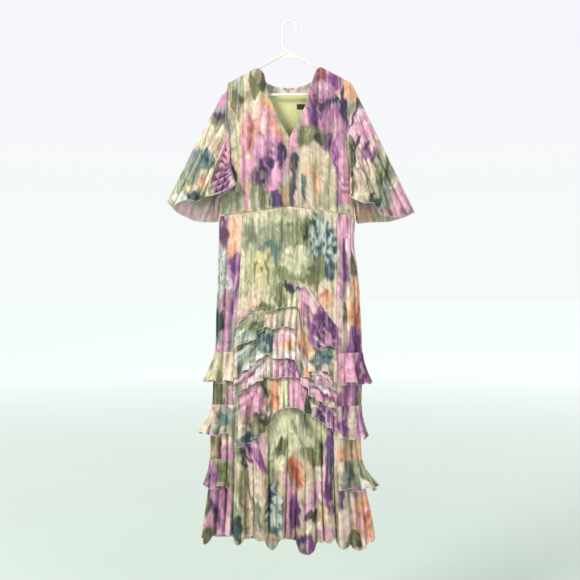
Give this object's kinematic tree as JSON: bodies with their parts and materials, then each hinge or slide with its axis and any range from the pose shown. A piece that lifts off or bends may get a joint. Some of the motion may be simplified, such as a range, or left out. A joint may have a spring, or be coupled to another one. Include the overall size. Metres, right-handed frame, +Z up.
{
  "type": "maxi dress on a hanger",
  "caption": "Long V-neck dress of printed crinkled chiffon with wide flutter sleeves, arched front flounces and side tiers, hung flat on a white tubular plastic hanger.",
  "frame": {"origin": "inside top of the hanger's hook, where a nail or rail holds it", "axes": "+Z up, -Y out of the dress's front, +X to the right as seen from the front"},
  "size_m": [0.7696, 0.1477, 1.6572],
  "materials": {
    "bodice_chiffon": "crinkled printed chiffon",
    "sleeve_chiffon": "crinkled printed chiffon",
    "skirt_chiffon": "crinkled printed chiffon",
    "flounce_chiffon": "crinkled printed chiffon",
    "lining": "plain woven lining",
    "label": "bare woven label",
    "hanger_plastic": "white moulded plastic"
  },
  "bodies": {
    "root": {"hanger": "hanger_plastic", "bodice_front_left": "bodice_chiffon", "bodice_front_right": "bodice_chiffon", "bodice_back_left": "bodice_chiffon", "bodice_back_right": "bodice_chiffon", "back_lining": "lining", "neck_label": "label", "sleeve_left": "sleeve_chiffon", "sleeve_right": "sleeve_chiffon", "skirt_front": "skirt_chiffon", "skirt_side_left": "skirt_chiffon", "skirt_side_right": "skirt_chiffon", "skirt_back": "skirt_chiffon", "front_flounce_1": "flounce_chiffon", "front_flounce_2": "flounce_chiffon", "front_flounce_3": "flounce_chiffon", "front_flounce_4": "flounce_chiffon", "front_flounce_5": "flounce_chiffon", "tier_1_left": "flounce_chiffon", "tier_1_right": "flounce_chiffon", "tier_2_left": "flounce_chiffon", "tier_2_right": "flounce_chiffon", "tier_3_left": "flounce_chiffon", "tier_3_right": "flounce_chiffon"}
  },
  "joints": []
}
